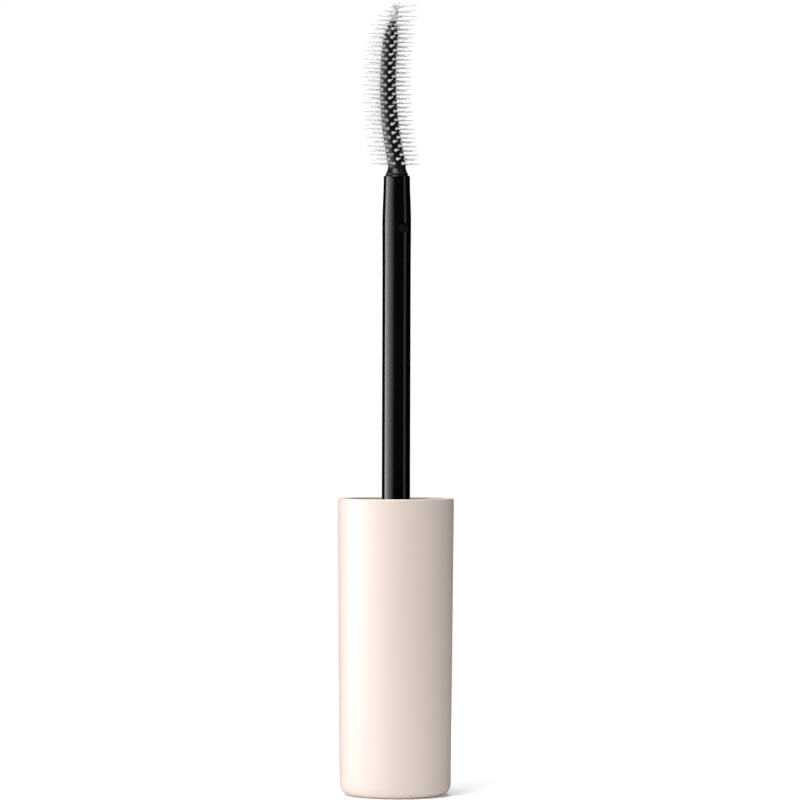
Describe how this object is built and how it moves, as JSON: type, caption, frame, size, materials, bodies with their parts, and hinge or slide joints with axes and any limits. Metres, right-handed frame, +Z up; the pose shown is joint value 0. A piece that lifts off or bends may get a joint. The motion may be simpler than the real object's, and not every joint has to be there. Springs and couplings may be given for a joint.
{
  "type": "mascara applicator",
  "caption": "Screw cap standing on its closed end, holding a slim stem with a curved moulded brush of soft bristles.",
  "frame": {"origin": "centre of the cap's closed end, which the part stands on", "axes": "+Z up the cap's axis to the brush's tip; the brush bows towards -X; -Y is the side seen from the front"},
  "size_m": [0.017, 0.017, 0.1161],
  "materials": {
    "cap_blush": "polished blush-beige moulded ABS",
    "core_black": "black moulded polypropylene, plain from the tool",
    "gasket_grey": "soft grey elastomer",
    "rod_black": "polished black moulded acetal",
    "brush_black": "black moulded brush core, satin",
    "bristle_clear": "translucent natural elastomer, smooth"
  },
  "bodies": {
    "root": {"outer_cap": "cap_blush", "inner_cap": "core_black", "neck_gasket": "gasket_grey", "rod": "rod_black", "brush_core": "brush_black", "bristles": "bristle_clear"}
  },
  "joints": []
}
